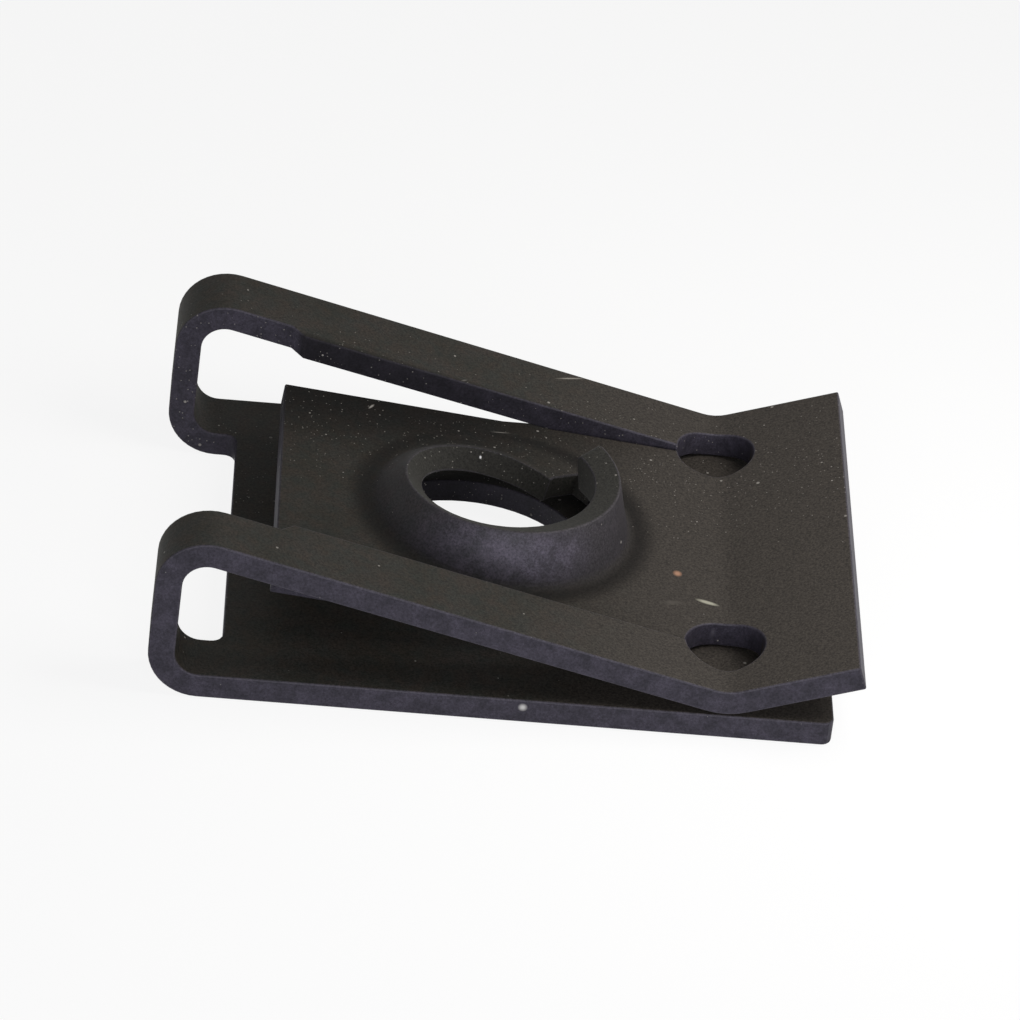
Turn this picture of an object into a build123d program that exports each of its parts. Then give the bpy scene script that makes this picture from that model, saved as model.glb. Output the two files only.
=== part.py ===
"""U clip nut: one blank of spring steel, folded into a clip that slides over a panel edge.

The base leaf lies on the XY plane with its underside at Z = 0. X runs from the fold to the open
mouth, Y runs across the clip, and the origin is on the axis of the clearance hole in the base.
"""

from build123d import *
from math import cos, radians, sin, tan
import os

# ---------------------------------------------------------------- driving dimensions, mm and degrees
THICKNESS = 0.75             # spring steel strip
WIDTH = 14.2                 # whole clip, across the base, the arms and the lip
BASE_LENGTH = 19.3           # outside of the fold to the open end of the base

FOLD_HEIGHT = 5.15           # underside of the base to the top of the fold
BEND_RADIUS = 0.7            # inside radius of the two bends of the fold
WALL_LEAN = 1.5              # the short wall of the fold leans in towards the mouth

ARM_SLOPE = 14.1             # the arms fall from the fold to the valley bend
VALLEY_RADIUS = 1.25         # inside radius of the valley bend
VALLEY_CLEARANCE = 0.05      # sprung shut: the valley all but rests on the base
LIP_SLOPE = 19.2             # flared lip that leads the panel in
LIP_LENGTH = 3.4             # flat part of the lip

LEG_WIDTH = 1.85             # mean of the two legs that join the base to the arms
WINDOW_OFFSET = -0.1         # the window was pierced this far off the centre plane, along Y
NOTCH_DEPTH = 2.05           # outside of the fold to the edge of the base between the legs
NOTCH_CORNER = 0.35
WINDOW_STEP = 0.36           # each arm is this much wider once past the end of the tongue

SLIT_LINE = 4.9              # middle of each shear slit, from the centre plane
SLIT_WIDTH = 0.15
RELIEF_HOLE = 2.25           # round hole that ends each slit, on the valley bend

TONGUE_SLOPE = 6.1           # the tongue rises from the valley towards the fold
TONGUE_START = 3.3           # outside of the fold to the free end of the tongue

CLEARANCE_HOLE = 7.4         # in the base
CLEARANCE_HOLE_X = 8.8       # outside of the fold to the middle of the clearance hole

COLLAR_X = 9.8               # outside of the fold to the middle of the collar
COLLAR_BORE = 4.84           # across the inner edge of the rim, which is the thread
COLLAR_START = 56            # where the rim leaves the tongue, anticlockwise from +X
COLLAR_SWEEP_ANGLE = 343     # how far the rim climbs round
COLLAR_LOW_RISE = 0.02       # rim above the tongue where it starts
COLLAR_HIGH_RISE = 1.7       # rim above the tongue at its cut end
COLLAR_LOW_LEAN = 10         # wall angle where it starts
COLLAR_HIGH_LEAN = 72        # wall angle at its cut end
COLLAR_SLOW_START = 1.4      # with both at 1 the rim would climb evenly all the way round
COLLAR_SLOW_END = 2.9
COLLAR_STEEPEN = 2.2         # with 1 the wall would steepen evenly all the way round
COLLAR_FOOT_RADIUS = 0.35    # fillet from the tongue into the wall
COLLAR_END_RADIUS = 0.4      # corner of the rim at its cut end
COLLAR_SECTIONS = 24
COLLAR_MARGIN = 0.05         # flat of the tongue carried round the outside of the collar's foot
LANCE_START = 2.75           # from the middle of the collar to the cut that parts the rim's two ends
LANCE_END = 3.47             # and to the outer end of that cut
LANCE_ANGLE = 50             # which stands here, anticlockwise from +X

MOUTH_CORNER = 0.3           # blanked corners at the open end of the base

TOUCHING = 0.001             # nearer than this is taken as lying on the surface

# ---------------------------------------------------------------- places worked out from them
half_sheet = THICKNESS / 2
bend = BEND_RADIUS + half_sheet
valley = VALLEY_RADIUS + half_sheet

fold_x = -CLEARANCE_HOLE_X
mouth_x = fold_x + BASE_LENGTH
first_bend_x = fold_x + BEND_RADIUS + THICKNESS
wall_length = (FOLD_HEIGHT - 2 * (BEND_RADIUS + THICKNESS)) / cos(radians(WALL_LEAN))
second_bend_x = first_bend_x + wall_length * sin(radians(WALL_LEAN))
second_bend_z = FOLD_HEIGHT - BEND_RADIUS - THICKNESS

valley_z = THICKNESS + VALLEY_CLEARANCE
valley_centre_z = valley_z + THICKNESS + VALLEY_RADIUS
arm_drop = second_bend_z - valley_centre_z + (bend + valley) * cos(radians(ARM_SLOPE))
arm_length = arm_drop / sin(radians(ARM_SLOPE))
arm_reach = arm_length * cos(radians(ARM_SLOPE)) + (bend + valley) * sin(radians(ARM_SLOPE))
valley_x = second_bend_x + arm_reach

tongue_x = fold_x + TONGUE_START
tongue_length = (valley_x - valley * sin(radians(TONGUE_SLOPE)) - tongue_x) / cos(radians(TONGUE_SLOPE))
tongue_width = 2 * SLIT_LINE - SLIT_WIDTH

window_width = WIDTH - 2 * LEG_WIDTH
arm_gap = window_width - 2 * WINDOW_STEP
window_end_x = valley_x - tongue_length * cos(radians(ARM_SLOPE))

collar_x = fold_x + COLLAR_X
collar_z = (
    valley_centre_z
    - VALLEY_RADIUS / cos(radians(TONGUE_SLOPE))
    + (valley_x - collar_x) * tan(radians(TONGUE_SLOPE))
)
collar_plane = Plane(
    origin=(collar_x, 0, collar_z),
    x_dir=(cos(radians(TONGUE_SLOPE)), 0, -sin(radians(TONGUE_SLOPE))),
    z_dir=(sin(radians(TONGUE_SLOPE)), 0, cos(radians(TONGUE_SLOPE))),
)
collar_axis = Axis(collar_plane.origin, collar_plane.z_dir)


# ---------------------------------------------------------------- the collar's wall, part by part
def climb(turn):
    """How far the rim has climbed, 0 to 1, after this share of its sweep."""
    return 1 - (1 - turn**COLLAR_SLOW_START) ** COLLAR_SLOW_END


def wall_lean(turn):
    return COLLAR_HIGH_LEAN - (COLLAR_HIGH_LEAN - COLLAR_LOW_LEAN) * (1 - turn) ** COLLAR_STEEPEN


def wall_slant(turn):
    """Length of the straight wall between the foot's fillet and the rim's cut edge."""
    rise = COLLAR_LOW_RISE + (COLLAR_HIGH_RISE - COLLAR_LOW_RISE) * climb(turn)
    lean = radians(wall_lean(turn))
    return (rise - COLLAR_FOOT_RADIUS * (1 - cos(lean))) / sin(lean)


def foot_radius(turn):
    """Radius at which the flat tongue starts to turn up into the wall."""
    lean = radians(wall_lean(turn))
    rim = COLLAR_BORE / 2 + THICKNESS * sin(lean)
    return rim + COLLAR_FOOT_RADIUS * sin(lean) + wall_slant(turn) * cos(lean)


def around_collar(radius, angle):
    """Point of the tongue at this radius and angle from the middle of the collar."""
    return radius * cos(radians(angle)), radius * sin(radians(angle))


widest_foot = max(foot_radius(section / COLLAR_SECTIONS) for section in range(COLLAR_SECTIONS + 1))
collar_reach = widest_foot + COLLAR_MARGIN

# ---------------------------------------------------------------- folded strip
with BuildPart() as strip:
    with BuildLine(Plane.XZ) as fold_line:
        base = Line((mouth_x, half_sheet), (first_bend_x, half_sheet))
        lower_bend = JernArc(base @ 1, base % 1, bend, -(90 + WALL_LEAN))
        wall = Line(lower_bend @ 1, lower_bend @ 1 + wall_length * (lower_bend % 1))
        upper_bend = JernArc(wall @ 1, wall % 1, bend, -(90 - WALL_LEAN + ARM_SLOPE))
        arm = Line(upper_bend @ 1, upper_bend @ 1 + arm_length * (upper_bend % 1))
        valley_bend = JernArc(arm @ 1, arm % 1, valley, ARM_SLOPE + LIP_SLOPE)
        Line(valley_bend @ 1, valley_bend @ 1 + LIP_LENGTH * (valley_bend % 1))
    with BuildSketch(Plane(origin=fold_line.line @ 0, z_dir=fold_line.line % 0)):
        Rectangle(THICKNESS, WIDTH)
    sweep()

# ---------------------------------------------------------------- collar: a bent strip run round the bore
with BuildPart() as collar:
    for section in range(COLLAR_SECTIONS + 1):
        turn = section / COLLAR_SECTIONS
        lean = wall_lean(turn)
        foot = foot_radius(turn)
        outward = collar_plane.x_dir.rotate(collar_axis, COLLAR_START + COLLAR_SWEEP_ANGLE * turn)
        with BuildSketch(Plane(collar_plane.origin, outward, outward.cross(collar_plane.z_dir))):
            with BuildLine():
                top = Line((collar_reach, 0), (foot, 0))
                fillet_top = JernArc(top @ 1, top % 1, COLLAR_FOOT_RADIUS, -lean)
                wall_top = Line(fillet_top @ 1, fillet_top @ 1 + wall_slant(turn) * (fillet_top % 1))
                across = THICKNESS * Vector(-sin(radians(lean)), -cos(radians(lean)))
                wall_under = Line(wall_top @ 1 + across, fillet_top @ 1 + across)
                under = Line((foot, -THICKNESS), (collar_reach, -THICKNESS))
                RadiusArc(wall_under @ 1, under @ 0, COLLAR_FOOT_RADIUS + THICKNESS)
                Line(wall_top @ 1, wall_under @ 0)
                Line(under @ 1, top @ 0)
            make_face()
    loft()
    fillet(edges().sort_by(collar_axis)[-1], COLLAR_END_RADIUS)

# The collar meets the flat tongue along the longest of its edges that lie on the tongue's top.
top_edges = collar.edges().filter_by(lambda edge: abs(collar_plane.to_local_coords(edge.center()).Z) < TOUCHING)
collar_seam = top_edges.sort_by(Edge.length)[-1]

# ---------------------------------------------------------------- tongue, opened to take the collar
with BuildPart() as tongue:
    with BuildLine(Plane.XZ) as tongue_line:
        tongue_bend = JernArc((valley_x, valley_z + half_sheet), (-1, 0), valley, -TONGUE_SLOPE)
        Line(tongue_bend @ 1, tongue_bend @ 1 + tongue_length * (tongue_bend % 1))
    with BuildSketch(Plane(origin=tongue_line.line @ 0, z_dir=tongue_line.line % 0)):
        Rectangle(THICKNESS, tongue_width)
    sweep()
    with BuildSketch(collar_plane):
        Circle(LANCE_START)
        with BuildLine():
            Polyline(
                (0, 0),
                around_collar(LANCE_START, COLLAR_START),
                around_collar(LANCE_END, LANCE_ANGLE),
                around_collar(LANCE_END, COLLAR_START + COLLAR_SWEEP_ANGLE),
                close=True,
            )
        make_face()
        with BuildLine():
            around = collar_plane.to_local_coords(collar_seam)
            add(around)
            Line((0, 0), around @ 0)
            Line((0, 0), around @ 1)
        make_face()
    extrude(amount=THICKNESS, both=True, mode=Mode.SUBTRACT)

# ---------------------------------------------------------------- whole clip
with BuildPart() as spring_clip:
    add(strip)

    # Between the legs the fold is open, back to the edge of the base.
    with BuildSketch(Plane.XY):
        with Locations((fold_x - THICKNESS, WINDOW_OFFSET)):
            Rectangle(2 * (NOTCH_DEPTH + THICKNESS), window_width)
        fillet(vertices().group_by(Axis.X)[-1], NOTCH_CORNER)
    extrude(amount=FOLD_HEIGHT, mode=Mode.SUBTRACT)

    # The strip between the arms went into the tongue: window, step and the two slits.
    with BuildSketch(Plane.XY.offset(valley_z - VALLEY_CLEARANCE / 2)):
        for side in (-1, 1):
            with BuildLine():
                Polyline(
                    (fold_x - THICKNESS, WINDOW_OFFSET + side * window_width / 2),
                    (window_end_x - WINDOW_STEP, WINDOW_OFFSET + side * window_width / 2),
                    (window_end_x, WINDOW_OFFSET + side * arm_gap / 2),
                    (valley_x, side * (SLIT_LINE + SLIT_WIDTH / 2)),
                    (valley_x, 0),
                    (fold_x - THICKNESS, 0),
                    close=True,
                )
            make_face()
    extrude(amount=FOLD_HEIGHT, mode=Mode.SUBTRACT)

    add(tongue)
    add(collar)

    # Relief holes at the ends of the slits, through the upper leaf only.
    with BuildSketch(Plane.XY.offset(valley_z - VALLEY_CLEARANCE / 2)):
        with Locations((valley_x, SLIT_LINE), (valley_x, -SLIT_LINE)):
            Circle(RELIEF_HOLE / 2)
    extrude(amount=FOLD_HEIGHT, mode=Mode.SUBTRACT)

    # Clearance hole for the screw, and the blanked corners at the mouth of the base.
    with BuildSketch(Plane.XY):
        Circle(CLEARANCE_HOLE / 2)
    extrude(amount=THICKNESS, mode=Mode.SUBTRACT)
    mouth_corners = edges().filter_by(Axis.Z).group_by(Axis.X)[-1]
    fillet(mouth_corners, MOUTH_CORNER)

spring_clip.part.label = "spring_clip"

os.makedirs("parts", exist_ok=True)
export_step(spring_clip.part, "parts/spring_clip.step")
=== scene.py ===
import math

import bmesh
import bpy
from mathutils import Matrix, Vector
from mathutils.bvhtree import BVHTree


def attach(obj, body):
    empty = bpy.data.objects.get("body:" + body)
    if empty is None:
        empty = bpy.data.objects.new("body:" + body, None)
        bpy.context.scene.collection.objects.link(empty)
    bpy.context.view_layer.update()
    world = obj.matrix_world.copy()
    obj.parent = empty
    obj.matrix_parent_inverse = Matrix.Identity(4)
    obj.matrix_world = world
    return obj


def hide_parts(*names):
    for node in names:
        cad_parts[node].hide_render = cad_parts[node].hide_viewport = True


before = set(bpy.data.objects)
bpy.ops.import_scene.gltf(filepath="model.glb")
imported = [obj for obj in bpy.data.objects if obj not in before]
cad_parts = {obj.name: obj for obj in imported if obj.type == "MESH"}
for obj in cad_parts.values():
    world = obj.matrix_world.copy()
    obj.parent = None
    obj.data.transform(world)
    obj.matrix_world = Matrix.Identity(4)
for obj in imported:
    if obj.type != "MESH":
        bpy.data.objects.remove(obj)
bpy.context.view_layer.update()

MM = 0.001


# ------------------------------------------------------------------ small helpers
def linear(hex_colour):
    """sRGB hex to the linear colour that a shader socket takes."""
    channels = [int(hex_colour[i:i + 2], 16) / 255 for i in (1, 3, 5)]
    return [c / 12.92 if c <= 0.04045 else ((c + 0.055) / 1.055) ** 2.4 for c in channels] + [1.0]


def node(tree, kind, settings=(), links=()):
    """Adds one node: settings by property or input name, links as {input: output socket}."""
    made = tree.nodes.new(kind)
    for name, value in dict(settings).items():
        if isinstance(name, str) and hasattr(made, name):
            setattr(made, name, value)
        else:
            made.inputs[name].default_value = value
    for name, output in dict(links).items():
        tree.links.new(output, made.inputs[name])
    return made


# ------------------------------------------------------------------ camera and light
CAMERA_AZIMUTH = -3.66       # degrees, as the elevation and the roll
CAMERA_ELEVATION = 33.85
CAMERA_ROLL = 6.56
CAMERA_AIM = Vector((0.706, -8.021, 7.723)) * MM
CAMERA_DISTANCE = 162.5 * MM
CAMERA_LENS = 211.3          # mm, for the sensor width below
CAMERA_SENSOR = 36
CAMERA_NEAR, CAMERA_FAR = 0.005, 20
ROOM_LIGHT = 0.06            # of the white room, next to the lamps
PLAIN_WHITE = 0.88           # share of the paper's look that no shadow darkens
PAPER = "#F7F7F7"
PAPER_ROUGHNESS = 0.9
PAPER_SHINE = 0.1
FLOOR_HALF = 2.0             # metres
FLOOR_LEVEL = -0.02 * MM     # just clear of the clip's underside
# Square lamps: name, place and side in mm, power in watts, colour
LAMPS = (
    ("key", (22, -4, 30), 24, 0.0112, (1.0, 0.98, 0.95)),
    ("front fill", (0, -90, 20), 70, 0.082, (0.94, 0.95, 1.0)),
    ("side fill", (70, 0, 25), 40, 0.006, (1.0, 1.0, 1.0)),
)


def make_camera():
    azimuth, elevation = math.radians(CAMERA_AZIMUTH), math.radians(CAMERA_ELEVATION)
    back = Vector((math.sin(azimuth) * math.cos(elevation),
                   -math.cos(azimuth) * math.cos(elevation),
                   math.sin(elevation)))
    level_right = (-back).cross(Vector((0, 0, 1))).normalized()
    level_up = level_right.cross(-back)
    roll = math.radians(CAMERA_ROLL)
    right = math.cos(roll) * level_right + math.sin(roll) * level_up
    up = math.cos(roll) * level_up - math.sin(roll) * level_right
    camera = bpy.data.objects.new("camera", bpy.data.cameras.new("camera"))
    bpy.context.scene.collection.objects.link(camera)
    turn = Matrix((right, up, back)).transposed().to_4x4()
    camera.matrix_world = Matrix.Translation(CAMERA_AIM + back * CAMERA_DISTANCE) @ turn
    camera.data.lens = CAMERA_LENS
    camera.data.sensor_width = CAMERA_SENSOR
    camera.data.clip_start, camera.data.clip_end = CAMERA_NEAR, CAMERA_FAR
    bpy.context.scene.camera = camera


def soft_box(name, place, size, power, colour):
    """A square soft light that faces the clip."""
    light = bpy.data.lights.new(name, "AREA")
    light.shape = "SQUARE"
    light.size = size * MM
    light.energy = power
    light.color = colour
    lamp = bpy.data.objects.new(name, light)
    bpy.context.scene.collection.objects.link(lamp)
    place = Vector(place) * MM
    turn = place.to_track_quat("Z", "Y").to_matrix().to_4x4()
    lamp.matrix_world = Matrix.Translation(place) @ turn


def seen_directly(tree):
    """1 for what the camera sees straight, in a reflection or through something clear, else 0."""
    path = node(tree, "ShaderNodeLightPath")
    seen = node(tree, "ShaderNodeMath", {"operation": "MAXIMUM"},
                {0: path.outputs["Is Camera Ray"], 1: path.outputs["Is Glossy Ray"]})
    return node(tree, "ShaderNodeMath", {"operation": "MAXIMUM"},
                {0: seen.outputs[0], 1: path.outputs["Is Transmission Ray"]}).outputs[0]


def make_world():
    """A plain white room, dimmer where it only lights, because the lamps give the rest."""
    world = bpy.data.worlds.new("white room")
    bpy.context.scene.world = world
    world.use_nodes = True
    tree = world.node_tree
    tree.nodes.clear()
    strength = node(tree, "ShaderNodeMapRange", {"To Min": ROOM_LIGHT, "To Max": 1.0},
                    {"Value": seen_directly(tree)})
    background = node(tree, "ShaderNodeBackground", {"Color": (1, 1, 1, 1)},
                      {"Strength": strength.outputs[0]})
    node(tree, "ShaderNodeOutputWorld", {}, {"Surface": background.outputs[0]})


def make_floor():
    """Matt white paper under the clip. Seen directly it is mostly plain white, with a weak
    shadow."""
    mesh = bpy.data.meshes.new("floor")
    corners = [(-FLOOR_HALF, -FLOOR_HALF, FLOOR_LEVEL), (FLOOR_HALF, -FLOOR_HALF, FLOOR_LEVEL),
               (FLOOR_HALF, FLOOR_HALF, FLOOR_LEVEL), (-FLOOR_HALF, FLOOR_HALF, FLOOR_LEVEL)]
    mesh.from_pydata(corners, [], [(0, 1, 2, 3)])
    floor = bpy.data.objects.new("floor", mesh)
    bpy.context.scene.collection.objects.link(floor)
    paper = bpy.data.materials.new("white paper")
    paper.use_nodes = True
    tree = paper.node_tree
    shader = tree.nodes["Principled BSDF"]
    shader.inputs["Base Color"].default_value = linear(PAPER)
    shader.inputs["Roughness"].default_value = PAPER_ROUGHNESS
    shader.inputs["Specular IOR Level"].default_value = PAPER_SHINE
    white = node(tree, "ShaderNodeEmission", {"Color": (1, 1, 1, 1), "Strength": 1.0})
    share = node(tree, "ShaderNodeMath", {"operation": "MULTIPLY", 1: PLAIN_WHITE},
                 {0: seen_directly(tree)})
    mixed = node(tree, "ShaderNodeMixShader", {},
                 {0: share.outputs[0], 1: shader.outputs[0], 2: white.outputs[0]})
    tree.links.new(mixed.outputs[0], tree.nodes["Material Output"].inputs["Surface"])
    mesh.materials.append(paper)


# ------------------------------------------------------------------ the clip
SHEET = 0.75 * MM            # thickness of the strip
EDGE_RADIUS = 0.05 * MM      # what blanking and barrelling leave on every cut edge
EDGE_SEGMENTS = 3
EDGE_SLOT = 1                # material slot that tells the rounded faces from the rest
SHARP = math.radians(35)     # a fold of the mesh past this is an edge of the sheet
FLAT = math.radians(0.2)     # a fold of the mesh below this is no fold
SAME_CORNER = 0.0005 * MM    # corners of the CAD mesh this close are one
NEEDLE = 0.02 * MM           # an edge shorter than this is closed up
COLLAR_MIDDLE = Vector((1.0, 0.0, 2.22)) * MM
COLLAR_AXIS = Vector((math.sin(math.radians(6.1)), 0.0, math.cos(math.radians(6.1))))
COLLAR_REACH = 4.3 * MM
COLLAR_BOTTOM = -1.1 * SHEET  # along its axis, from its middle
FOOT_RADIUS = 4.0 * MM       # of the fillet round the outside of the collar
STEEP = 0.1                  # a face of the collar past this isn't part of the flat tongue
ONE_SHEET = 1.12 * SHEET     # a face with more steel than this behind it was cut, not rolled
RAY_INSIDE = 0.001           # mm, how far below a face its ray starts
RAY_LENGTH = 3 * MM


def cut_edges(edit):
    """The convex sharp edges of the sheet. The odd short one that the curved faces leave is
    dropped: a chain of them has to be as long as the sheet is thick."""
    found = {edge for edge in edit.edges
             if edge.is_manifold and edge.is_convex and edge.calc_face_angle() > SHARP}
    left = set(found)
    while left:
        chain, ends = set(), [left.pop()]
        while ends:
            edge = ends.pop()
            chain.add(edge)
            for corner in edge.verts:
                for other in corner.link_edges:
                    if other in left:
                        left.remove(other)
                        ends.append(other)
        if sum(edge.calc_length() for edge in chain) < SHEET:
            found -= chain
    return found


def rounded_clip(source):
    """The CAD clip as one closed mesh, its flats whole, with the small radius on its cut edges."""
    mesh = source.data.copy()
    mesh.name = "clip"
    edit = bmesh.new()
    edit.from_mesh(mesh)
    bmesh.ops.remove_doubles(edit, verts=edit.verts, dist=SAME_CORNER)
    # This set has no fixed order, and the merge follows it: the mesh varies a little between runs.
    short = {corner for edge in cut_edges(edit) if edge.calc_length() < EDGE_RADIUS
             for corner in edge.verts}
    bmesh.ops.remove_doubles(edit, verts=list(short), dist=EDGE_RADIUS)
    bmesh.ops.dissolve_degenerate(edit, edges=edit.edges, dist=NEEDLE)
    bmesh.ops.triangulate(edit, faces=edit.faces)
    bmesh.ops.dissolve_limit(edit, angle_limit=FLAT, verts=edit.verts, edges=edit.edges)
    weight = edit.edges.layers.float.new("bevel_weight_edge")
    for edge in cut_edges(edit):
        room = [face.calc_area() / edge.calc_length()
                for face in edge.link_faces if len(face.verts) == 3]
        edge[weight] = min([1.0] + [width / EDGE_RADIUS for width in room])
    edit.to_mesh(mesh)
    edit.free()
    mesh.shade_smooth()
    mesh.set_sharp_from_angle(angle=SHARP)
    mesh.materials.clear()
    clip = bpy.data.objects.new("clip", mesh)
    bpy.context.scene.collection.objects.link(clip)

    bevel = clip.modifiers.new("edge radius", "BEVEL")
    bevel.width = EDGE_RADIUS
    bevel.segments = EDGE_SEGMENTS
    bevel.limit_method = "WEIGHT"
    bevel.material = EDGE_SLOT
    bevel.use_clamp_overlap = False
    for _ in range(EDGE_SLOT + 1):
        mesh.materials.append(None)
    clip.modifiers.new("flats stay flat", "WEIGHTED_NORMAL").keep_sharp = True
    clip.modifiers.new("triangles", "TRIANGULATE").keep_custom_normals = True
    bpy.context.view_layer.update()
    shaped = clip.evaluated_get(bpy.context.evaluated_depsgraph_get())
    made = bpy.data.meshes.new_from_object(shaped)
    clip.modifiers.clear()
    clip.data = made
    made.name = "clip"
    return clip


def mark_surfaces(clip):
    """Stores where the steel was sheared, drawn by the punch, or rounded, for the finish to read.
    The inside and the cut edge of the collar's rim are kept apart from its drawn outside."""
    mesh = clip.data
    edit = bmesh.new()
    edit.from_mesh(mesh)
    edit.faces.ensure_lookup_table()
    tree = BVHTree.FromBMesh(edit)
    marks = {"sheared": [], "drawn": [], "rim": [], "rounded": []}
    for face in edit.faces:
        middle, normal = face.calc_center_median(), face.normal
        behind = tree.ray_cast(middle - normal * RAY_INSIDE * MM, -normal, RAY_LENGTH)[3]
        cut = behind is None or behind > ONE_SHEET
        offset = middle - COLLAR_MIDDLE
        height = offset.dot(COLLAR_AXIS)
        outward = offset - height * COLLAR_AXIS
        steep = 1 - abs(normal.dot(COLLAR_AXIS))
        collar = outward.length < COLLAR_REACH and height > COLLAR_BOTTOM
        outside = collar and normal.dot(outward) > 0
        marks["sheared"].append(float(cut and not collar))
        marks["drawn"].append(steep if outside else 0.0)
        marks["rim"].append(float(collar and not outside and (cut or steep > STEEP)))
        marks["rounded"].append(float(face.material_index == EDGE_SLOT))
    edit.free()
    for name, values in marks.items():
        mesh.attributes.new(name, "FLOAT", "FACE").data.foreach_set("value", values)
    mesh.materials.clear()
    for face in mesh.polygons:
        face.material_index = 0


# ------------------------------------------------------------------ the finish
# Inputs of a Mix node that mixes colours, and its output
SHARE, FIRST, SECOND, MIXED = 0, 6, 7, 2

# Colours of the coat, a pair from its darker to its lighter places
BROWN = ("#2A2620", "#312C28")
GREEN = ("#232420", "#2C2C29")
TOWARDS_MOUTH = "#36322E"
# The sheared and drawn faces are painted bluer and lighter, standing in for the cool front light on
# them
SHEARED = ("#2A282F", "#37343D")
DRAWN = "#363439"
# Lighter, bluer colours of the painted highlight on the collar's front
PAINTED_HIGHLIGHT_COLOURS = ("#423F4B", "#696476")
RIM = "#2A2926"
# Painted highlight along the rounded cut edges, as a lighter colour
EDGE_HIGHLIGHT = "#444148"
EDGE_HIGHLIGHT_SHARE = 0.35              # share of that painted highlight on the rounded edges
# Near-black of the painted shade along the far slit and round the collar's foot
PAINTED_SHADE_COLOUR = "#0A090A"
DUST = "#98948E"

# Blotches: size in mm, detail and roughness of the noise, and the part of it that is used
CLOUDS = (1.6, 4.0, 0.65, 0.3, 0.7)
PATCHES = (0.45, 3.0, 0.6, 0.35, 0.65)
CRYSTAL = 0.07               # mm, drawn size of a crystal
CRYSTAL_DETAIL = 2.0
CRYSTAL_CONTRAST = 0.8       # between the noise's own scales
FLECKS = (0.55, 0.35)        # how far crystals vary the colour: rolled faces, then worked ones
RELIEF_DEPTH = 0.01 * MM
RELIEF_STRENGTH = 0.3

ROLLED_ROUGHNESS = 0.66
SHEARED_ROUGHNESS = 0.5
DRAWN_ROUGHNESS = (0.34, 0.5)
DARK_ROUGHNESS = 0.9
COAT_SHINE = 0.12

# Where a share changes: axis, from and to in mm, the share there, and how it changes between
MOUTH_RAMP = ("X", 0.0, 6.0, 0.0, 1.0, "SMOOTHSTEP")
# Painted shade along the far slit, beside the far arm:
SLIT_SHADE_RAMPS = (
    ("Y", 1.0, 4.4, 0.0, 1.0, "SMOOTHSTEP"),      # grows towards the far slit
    ("Y", 4.8, 5.05, 1.0, 0.0, "LINEAR"),         # ends in it
    ("X", -1.0, 6.0, 0.75, 0.0, "SMOOTHSTEP"),    # fades towards the mouth
    ("Z", 0.85, 1.1, 0.0, 1.0, "LINEAR"),         # leaves the base alone
)
# Painted shade in a ring round the collar's foot: its strength, and how far from the foot it fades
# out
FOOT_SHADE_SHARE, FOOT_SHADE_WIDTH = 0.7, 0.7 * MM

# Dust: size of a cell in mm, share of cells bare where it is thickest, how strong a speck is
DUST_SIZES = ((0.26, 0.82, 0.7), (0.11, 0.35, 0.5))
DUST_MIDDLE, DUST_REACH = 3.2 * MM, 3.6 * MM      # along Y
DUST_BARE = 0.985            # share of cells bare elsewhere
SPECK_SIZES = (0.05, 0.2)    # smallest and largest, of a cell

# A painted highlight: the lighter, bluer patch on the collar's front where the front light
# reflects. Middle and half sizes in mm, turn about Z in degrees, strength, softness
PAINTED_HIGHLIGHT_PATCH = ((0.45, -3.35, 2.95), (2.7, 1.2, 0.85), 0, 1.0, 0.5)
# Single marks: the same, with their colour before the strength
MARKS = (
    ((6.10, -1.60, 1.68), (0.10, 0.11, 0.3), 0, "#A57F68", 0.9, 0.5),      # speck of rust
    ((6.94, -2.81, 1.59), (0.27, 0.07, 0.3), -12, "#A3A192", 0.9, 0.4),    # sliver of paint
    ((5.92, -3.10, 1.70), (0.24, 0.09, 0.3), 15, "#4E4A45", 0.6, 0.6),     # its faint twin
    ((0.35, 2.56, 2.37), (0.03, 0.03, 0.05), 0, "#D8D8D8", 1.0, 0.3),      # grit on the rim
    ((1.75, -7.10, 0.51), (0.09, 0.12, 0.09), 0, "#B9B7B4", 0.8, 0.6),     # grit on the base's edge
    ((3.00, 6.82, 2.61), (0.40, 0.03, 0.3), 28, "#8C8880", 0.9, 0.5),      # scratch on the far arm
    ((7.10, -3.81, 1.26), (0.05, 0.06, 0.12), 0, "#5C5960", 0.4, 0.6),     # nick in a relief hole
    ((-2.89, 4.39, 2.64), (0.03, 0.12, 0.2), -30, "#A09C96", 0.9, 0.5),    # lint
    ((0.95, 4.18, 2.23), (0.22, 0.02, 0.2), 10, "#6E6A66", 0.9, 0.5),      # lint
    ((-0.24, 4.98, 3.28), (0.10, 0.03, 0.2), 40, "#6E6A66", 0.9, 0.5),     # lint
)


def grain(size):
    """Noise scale for a pattern whose features are about this many millimetres."""
    return 1 / (size * MM)


def blotches(tree, place, size, detail, roughness, low, high):
    """Soft blotches of about this many millimetres, from 0 to 1."""
    noise = node(tree, "ShaderNodeTexNoise",
                 {"Scale": grain(size), "Detail": detail, "Roughness": roughness},
                 {"Vector": place})
    return node(tree, "ShaderNodeMapRange", {"From Min": low, "From Max": high},
                {"Value": noise.outputs["Fac"]}).outputs[0]


def ramp(tree, along, axis, start, end, at_start, at_end, change):
    """A share that changes between two places along one axis."""
    return node(tree, "ShaderNodeMapRange",
                {"interpolation_type": change, "From Min": start * MM, "From Max": end * MM,
                 "To Min": at_start, "To Max": at_end},
                {"Value": along.outputs[axis]}).outputs[0]


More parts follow.
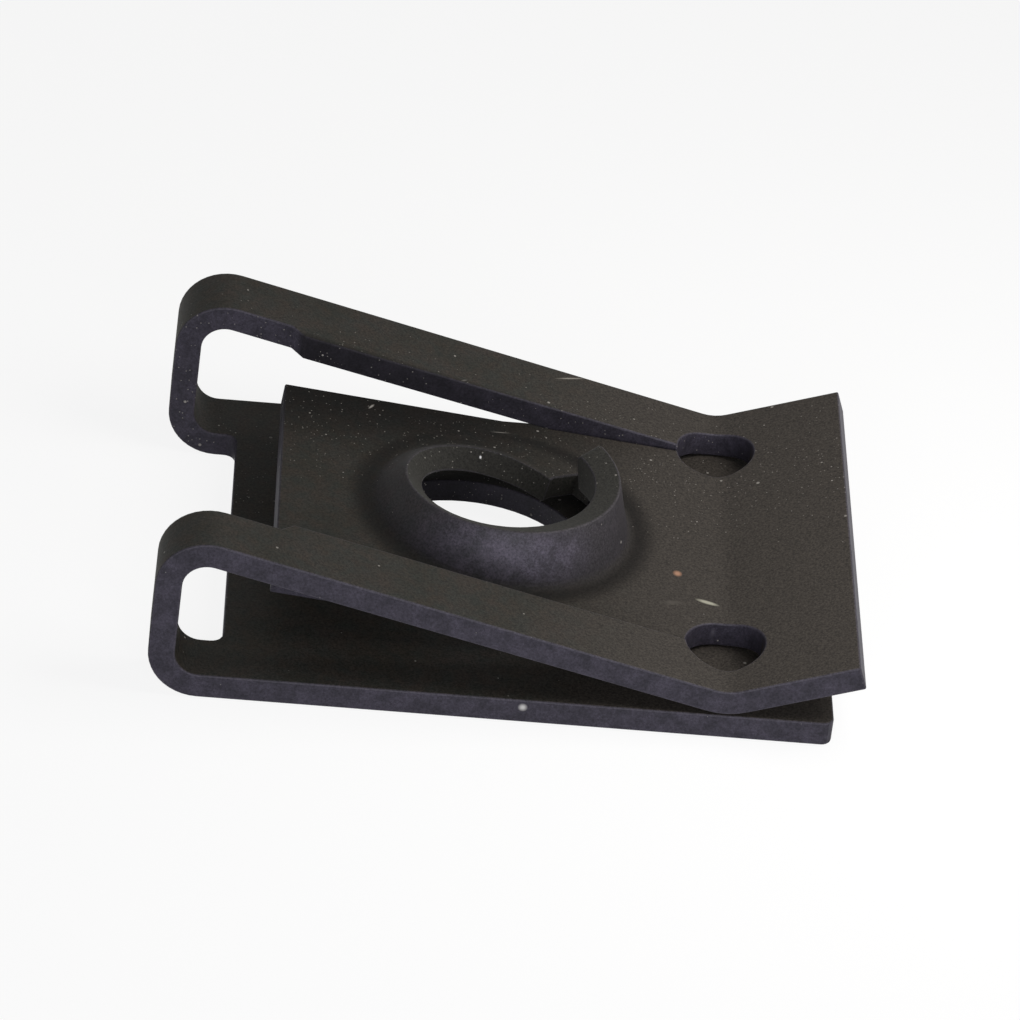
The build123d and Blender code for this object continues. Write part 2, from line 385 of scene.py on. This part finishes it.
def near_to(tree, place, middle, half, turn, strength, softness):
    """The given strength inside an upright ellipsoid, fading to 0 across its border."""
    offset = node(tree, "ShaderNodeVectorMath",
                  {"operation": "SUBTRACT", 1: Vector(middle) * MM}, {0: place})
    turned = node(tree, "ShaderNodeVectorRotate",
                  {"rotation_type": "Z_AXIS", "Angle": math.radians(-turn)},
                  {"Vector": offset.outputs[0]})
    scaled = node(tree, "ShaderNodeVectorMath", {"operation": "DIVIDE", 1: Vector(half) * MM},
                  {0: turned.outputs[0]})
    far = node(tree, "ShaderNodeVectorMath", {"operation": "LENGTH"}, {0: scaled.outputs[0]})
    return node(tree, "ShaderNodeMapRange",
                {"From Min": 1 - softness, "From Max": 1 + softness,
                 "To Min": strength, "To Max": 0.0},
                {"Value": far.outputs["Value"]}).outputs[0]


def coat_colour(tree, place, along, patch, faces):
    """Cloudy brown and green on the rolled faces, greyer towards the mouth, and bluer and lighter
    where the steel was sheared or drawn, a painted tint for the cool front light on those faces.
    A painted highlight lies on the collar's front and along the rounded edges."""
    cloud = blotches(tree, place, *CLOUDS)
    brown = node(tree, "ShaderNodeMix",
                 {"data_type": "RGBA", FIRST: linear(BROWN[0]), SECOND: linear(BROWN[1])},
                 {SHARE: cloud})
    green = node(tree, "ShaderNodeMix",
                 {"data_type": "RGBA", FIRST: linear(GREEN[0]), SECOND: linear(GREEN[1])},
                 {SHARE: cloud})
    rolled = node(tree, "ShaderNodeMix", {"data_type": "RGBA"},
                  {SHARE: patch, FIRST: green.outputs[MIXED], SECOND: brown.outputs[MIXED]})
    greyed = node(tree, "ShaderNodeMix", {"data_type": "RGBA", SECOND: linear(TOWARDS_MOUTH)},
                  {SHARE: ramp(tree, along, *MOUTH_RAMP), FIRST: rolled.outputs[MIXED]})
    # Painted light: bluer, lighter colours for the sheared and drawn faces
    sheared = node(tree, "ShaderNodeMix",
                   {"data_type": "RGBA", FIRST: linear(SHEARED[0]), SECOND: linear(SHEARED[1])},
                   {SHARE: patch})
    # Painted highlight on the collar's front, where the front light reflects
    light = node(tree, "ShaderNodeMix",
                 {"data_type": "RGBA", FIRST: linear(PAINTED_HIGHLIGHT_COLOURS[0]),
                  SECOND: linear(PAINTED_HIGHLIGHT_COLOURS[1])}, {SHARE: patch})
    drawn = node(tree, "ShaderNodeMix", {"data_type": "RGBA", FIRST: linear(DRAWN)},
                 {SHARE: near_to(tree, place, *PAINTED_HIGHLIGHT_PATCH), SECOND: light.outputs[MIXED]})
    cool = node(tree, "ShaderNodeMix", {"data_type": "RGBA"},
                {SHARE: faces["drawn"], FIRST: sheared.outputs[MIXED],
                 SECOND: drawn.outputs[MIXED]})
    coat = node(tree, "ShaderNodeMix", {"data_type": "RGBA"},
                {SHARE: faces["worked"], FIRST: greyed.outputs[MIXED],
                 SECOND: cool.outputs[MIXED]})
    rimmed = node(tree, "ShaderNodeMix", {"data_type": "RGBA", SECOND: linear(RIM)},
                  {SHARE: faces["rim"], FIRST: coat.outputs[MIXED]})
    # Painted highlight on the rounded edges
    edge_highlight = node(tree, "ShaderNodeMath", {"operation": "MULTIPLY", 1: EDGE_HIGHLIGHT_SHARE},
               {0: faces["rounded"]})
    return node(tree, "ShaderNodeMix", {"data_type": "RGBA", SECOND: linear(EDGE_HIGHLIGHT)},
                {SHARE: edge_highlight.outputs[0], FIRST: rimmed.outputs[MIXED]}).outputs[MIXED]


def painted_shade_places(tree, place, along):
    """Painted shade: the coat is darker and duller along the far slit, beside the far arm, and in a
    ring round the collar's foot, where shade falls.
    """
    slit = ramp(tree, along, *SLIT_SHADE_RAMPS[0])
    for limit in SLIT_SHADE_RAMPS[1:]:
        slit = node(tree, "ShaderNodeMath", {"operation": "MULTIPLY"},
                    {0: slit, 1: ramp(tree, along, *limit)}).outputs[0]
    from_collar = node(tree, "ShaderNodeVectorMath", {"operation": "SUBTRACT", 1: COLLAR_MIDDLE},
                       {0: place})
    level = node(tree, "ShaderNodeVectorMath", {"operation": "MULTIPLY", 1: (1, 1, 0)},
                 {0: from_collar.outputs[0]})
    reach = node(tree, "ShaderNodeVectorMath", {"operation": "LENGTH"}, {0: level.outputs[0]})
    past_foot = node(tree, "ShaderNodeMath", {"operation": "SUBTRACT", 1: FOOT_RADIUS},
                     {0: reach.outputs["Value"]})
    off_foot = node(tree, "ShaderNodeMath", {"operation": "ABSOLUTE"}, {0: past_foot.outputs[0]})
    foot = node(tree, "ShaderNodeMapRange",
                {"interpolation_type": "SMOOTHSTEP", "From Max": FOOT_SHADE_WIDTH,
                 "To Min": FOOT_SHADE_SHARE, "To Max": 0.0}, {"Value": off_foot.outputs[0]})
    return node(tree, "ShaderNodeMath", {"operation": "MAXIMUM"},
                {0: slit, 1: foot.outputs[0]}).outputs[0]


def flecked(tree, colour, crystals, worked):
    """The colour, lighter and darker from crystal to crystal, less so where steel was worked."""
    deep = node(tree, "ShaderNodeMapRange", {"To Min": FLECKS[0], "To Max": FLECKS[1]},
                {"Value": worked})
    low = node(tree, "ShaderNodeMath", {"operation": "SUBTRACT", 0: 1.0}, {1: deep.outputs[0]})
    high = node(tree, "ShaderNodeMath", {"operation": "ADD", 0: 1.0}, {1: deep.outputs[0]})
    fleck = node(tree, "ShaderNodeMapRange", {"From Min": 0.3, "From Max": 0.7},
                 {"Value": crystals, "To Min": low.outputs[0], "To Max": high.outputs[0]})
    return node(tree, "ShaderNodeVectorMath", {"operation": "SCALE"},
                {0: colour, 3: fleck.outputs[0]}).outputs[0]


def dusted(tree, colour, place, along):
    """Pale specks of two sizes, thick on the far half of the tongue and thin elsewhere."""
    aside = node(tree, "ShaderNodeMath", {"operation": "SUBTRACT", 1: DUST_MIDDLE},
                 {0: along.outputs["Y"]})
    away = node(tree, "ShaderNodeMath", {"operation": "ABSOLUTE"}, {0: aside.outputs[0]})
    for size, thickest, strength in DUST_SIZES:
        specks = node(tree, "ShaderNodeTexVoronoi", {"Scale": grain(size)}, {"Vector": place})
        chance = node(tree, "ShaderNodeSeparateColor", {}, {0: specks.outputs["Color"]})
        bare = node(tree, "ShaderNodeMapRange",
                    {"From Max": DUST_REACH, "To Min": thickest, "To Max": DUST_BARE},
                    {"Value": away.outputs[0]})
        kept = node(tree, "ShaderNodeMath", {"operation": "GREATER_THAN"},
                    {0: chance.outputs[0], 1: bare.outputs[0]})
        spread = node(tree, "ShaderNodeMapRange",
                      {"To Min": SPECK_SIZES[0], "To Max": SPECK_SIZES[1]},
                      {"Value": chance.outputs[1]})
        inside = node(tree, "ShaderNodeMath", {"operation": "LESS_THAN"},
                      {0: specks.outputs["Distance"], 1: spread.outputs[0]})
        speck = node(tree, "ShaderNodeMath", {"operation": "MULTIPLY"},
                     {0: kept.outputs[0], 1: inside.outputs[0]})
        share = node(tree, "ShaderNodeMath", {"operation": "MULTIPLY", 1: strength},
                     {0: speck.outputs[0]})
        colour = node(tree, "ShaderNodeMix", {"data_type": "RGBA", SECOND: linear(DUST)},
                      {SHARE: share.outputs[0], FIRST: colour}).outputs[MIXED]
    return colour


def marked(tree, colour, place):
    """The colour, with the single marks of this one clip on it."""
    for middle, half, turn, hex_colour, strength, softness in MARKS:
        share = near_to(tree, place, middle, half, turn, strength, softness)
        colour = node(tree, "ShaderNodeMix", {"data_type": "RGBA", SECOND: linear(hex_colour)},
                      {SHARE: share, FIRST: colour}).outputs[MIXED]
    return colour


def black_phosphate():
    """Black phosphate and oil on spring steel: fine dark crystals with a weak oily shine, warm on
    the rolled faces, smoothest where the punch drew it. The sheared and drawn faces are painted
    bluer and lighter for the cool front light, with painted highlights on the collar's front and
    the rounded edges, and painted shade along the far slit and round the collar's foot."""
    material = bpy.data.materials.new("black phosphate on spring steel")
    material.use_nodes = True
    tree = material.node_tree
    shader = tree.nodes["Principled BSDF"]
    place = node(tree, "ShaderNodeTexCoord").outputs["Object"]
    along = node(tree, "ShaderNodeSeparateXYZ", {}, {0: place})
    faces = {name: node(tree, "ShaderNodeAttribute", {"attribute_name": name}).outputs["Fac"]
             for name in ("sheared", "drawn", "rounded", "rim")}
    faces["worked"] = node(tree, "ShaderNodeMath", {"operation": "MAXIMUM"},
                           {0: faces["sheared"], 1: faces["drawn"]}).outputs[0]
    patch = blotches(tree, place, *PATCHES)
    # The real crystals are finer than shows at this distance, so these are drawn coarser.
    crystals = node(tree, "ShaderNodeTexNoise",
                    {"Scale": grain(CRYSTAL), "Detail": CRYSTAL_DETAIL,
                     "Roughness": CRYSTAL_CONTRAST}, {"Vector": place}).outputs["Fac"]

    coat = coat_colour(tree, place, along, patch, faces)
    # Painted shade along the far slit and round the collar's foot
    dark = painted_shade_places(tree, place, along)
    shaded_coat = node(tree, "ShaderNodeMix", {"data_type": "RGBA", SECOND: linear(PAINTED_SHADE_COLOUR)},
                    {SHARE: dark, FIRST: coat}).outputs[MIXED]
    colour = flecked(tree, shaded_coat, crystals, faces["worked"])
    colour = marked(tree, dusted(tree, colour, place, along), place)
    tree.links.new(colour, shader.inputs["Base Color"])

    matt = node(tree, "ShaderNodeMapRange",
                {"To Min": ROLLED_ROUGHNESS, "To Max": SHEARED_ROUGHNESS},
                {"Value": faces["sheared"]})
    burnish = node(tree, "ShaderNodeMapRange",
                   {"To Min": DRAWN_ROUGHNESS[0], "To Max": DRAWN_ROUGHNESS[1]},
                   {"Value": patch})
    shine = node(tree, "ShaderNodeMapRange", {},
                 {"Value": faces["drawn"], "To Min": matt.outputs[0],
                  "To Max": burnish.outputs[0]})
    dulled = node(tree, "ShaderNodeMapRange", {"To Max": DARK_ROUGHNESS},
                  {"Value": dark, "To Min": shine.outputs[0]})
    tree.links.new(dulled.outputs[0], shader.inputs["Roughness"])
    shader.inputs["Specular IOR Level"].default_value = COAT_SHINE
    relief = node(tree, "ShaderNodeBump",
                  {"Strength": RELIEF_STRENGTH, "Distance": RELIEF_DEPTH}, {"Height": crystals})
    tree.links.new(relief.outputs[0], shader.inputs["Normal"])
    return material


# ------------------------------------------------------------------ the scene
bpy.context.scene.view_settings.view_transform = "Standard"
make_camera()
make_world()
make_floor()
for lamp in LAMPS:
    soft_box(*lamp)
clip = rounded_clip(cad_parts["spring_clip"])
mark_surfaces(clip)
clip.data.materials.append(black_phosphate())
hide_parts("spring_clip")
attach(clip, "root")
